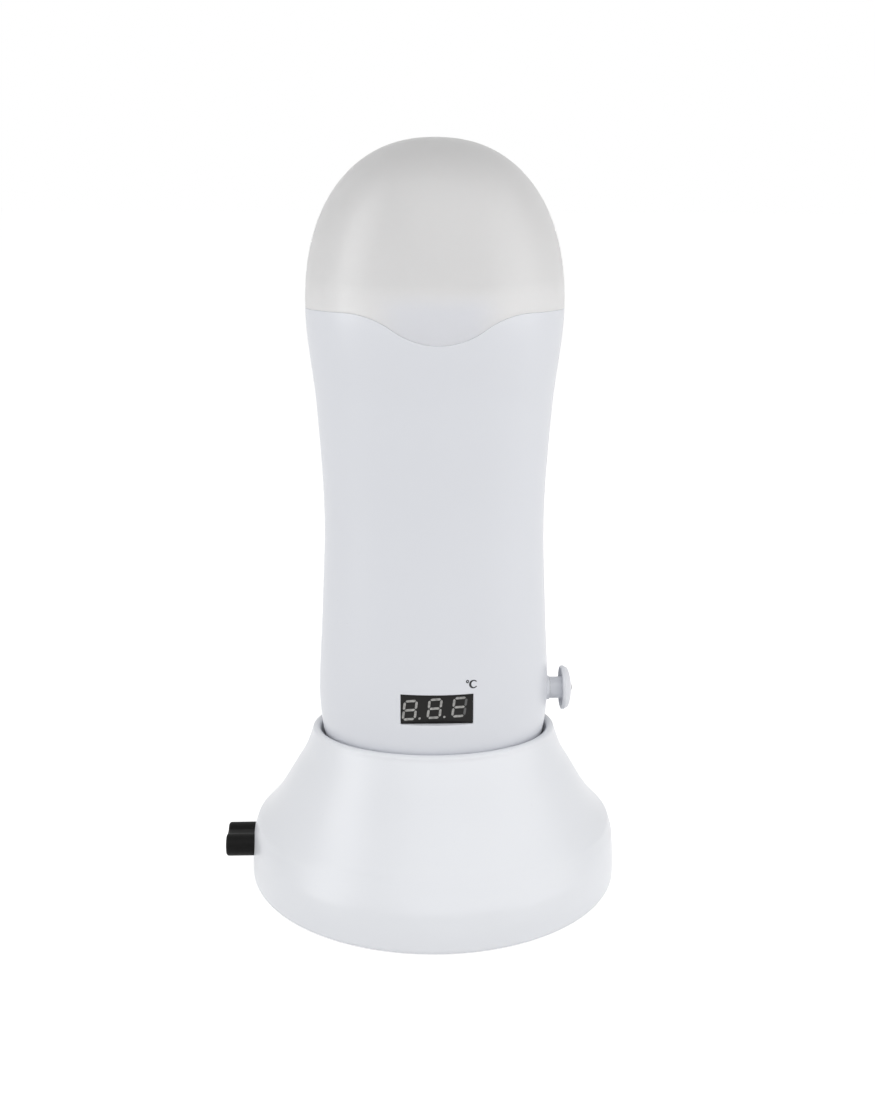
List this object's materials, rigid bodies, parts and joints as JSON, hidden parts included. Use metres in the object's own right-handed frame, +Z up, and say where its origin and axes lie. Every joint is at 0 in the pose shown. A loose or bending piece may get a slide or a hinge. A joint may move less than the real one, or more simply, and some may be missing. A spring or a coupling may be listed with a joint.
{
  "type": "roll on wax heater",
  "caption": "Waisted oval handset with a heated cartridge pocket, a digital display, a side knob and a frosted lift-off cap, standing in a bell-shaped contact base.",
  "frame": {"origin": "centre of the foot ring's resting face", "axes": "+Z up along the handset, display faces -Y, knob on +X, power inlet on -X"},
  "size_m": [0.129, 0.118, 0.2368],
  "materials": {
    "base_housing": "gloss moulded ABS",
    "cradle_cup": "satin moulded ABS",
    "base_bottom_cover": "satin moulded ABS",
    "base_screws": "zinc plated",
    "foot_ring": "matt rubber",
    "contact_block": "matt phenolic",
    "contact_pin_left": "turned brass",
    "contact_pin_right": "turned brass",
    "contact_leaf_left": "rolled spring bronze",
    "contact_leaf_right": "rolled spring bronze",
    "power_inlet": "satin black moulding",
    "inlet_pins": "nickel plated",
    "front_shell": "gloss moulded ABS",
    "rear_shell": "gloss moulded ABS",
    "shell_screws": "zinc plated",
    "handset_bottom_cover": "satin moulded ABS",
    "contact_studs": "turned brass",
    "collar": "gloss moulded nylon",
    "heating_chamber": "drawn aluminium",
    "chamber_screws": "zinc plated",
    "heater_wrap": "silicone heater mat",
    "clamp_bands": "stainless strip",
    "thermal_fuse": "tinned can",
    "thermistor": "epoxy bead",
    "sensor_clip": "spring steel strip",
    "clip_screw": "zinc plated",
    "led_display": "black display face",
    "display_board": "green circuit board",
    "display_screws": "zinc plated",
    "control_board": "green circuit board",
    "board_screws": "zinc plated",
    "board_components": "moulded housings",
    "potentiometer": "plated can",
    "potentiometer_shaft": "moulded shaft",
    "temperature_knob": "gloss moulded ABS",
    "knob_screw": "zinc plated",
    "frosted_cap": "frosted translucent polypropylene"
  },
  "bodies": {
    "base": {"base_housing": "base_housing", "cradle_cup": "cradle_cup", "base_bottom_cover": "base_bottom_cover", "base_screws": "base_screws", "foot_ring": "foot_ring", "contact_block": "contact_block", "contact_leaf_left": "contact_leaf_left", "contact_leaf_right": "contact_leaf_right", "power_inlet": "power_inlet", "inlet_pins": "inlet_pins"},
    "handset": {"front_shell": "front_shell", "rear_shell": "rear_shell", "shell_screws": "shell_screws", "handset_bottom_cover": "handset_bottom_cover", "contact_studs": "contact_studs", "collar": "collar", "heating_chamber": "heating_chamber", "chamber_screws": "chamber_screws", "heater_wrap": "heater_wrap", "clamp_bands": "clamp_bands", "thermal_fuse": "thermal_fuse", "thermistor": "thermistor", "sensor_clip": "sensor_clip", "clip_screw": "clip_screw", "led_display": "led_display", "display_board": "display_board", "display_screws": "display_screws", "control_board": "control_board", "board_screws": "board_screws", "board_components": "board_components", "potentiometer": "potentiometer"},
    "cap": {"frosted_cap": "frosted_cap"},
    "knob": {"temperature_knob": "temperature_knob", "knob_screw": "knob_screw", "potentiometer_shaft": "potentiometer_shaft"},
    "contact_left": {"contact_pin_left": "contact_pin_left"},
    "contact_right": {"contact_pin_right": "contact_pin_right"}
  },
  "joints": [
    {"name": "handset_lift", "type": "slide", "parent": "base", "child": "handset", "axis": [0, 0, 1], "range_m": [0, 0.07]},
    {"name": "cap_lift", "type": "slide", "parent": "handset", "child": "cap", "axis": [0, 0, 1], "range_m": [0, 0.06]},
    {"name": "knob_turn", "type": "hinge", "parent": "handset", "child": "knob", "pos_m": [0.0388, 0, 0.0632], "axis": [1, 0, 0], "range_deg": [-150, 150]},
    {"name": "contact_press_left", "type": "slide", "parent": "base", "child": "contact_left", "axis": [0, 0, 1], "range_m": [-0.0012, 0], "stiffness_N_per_m": 250, "springref_m": 0.001, "deforming": ["contact_leaf_left"]},
    {"name": "contact_press_right", "type": "slide", "parent": "base", "child": "contact_right", "axis": [0, 0, 1], "range_m": [-0.0012, 0], "stiffness_N_per_m": 250, "springref_m": 0.001, "deforming": ["contact_leaf_right"]}
  ]
}
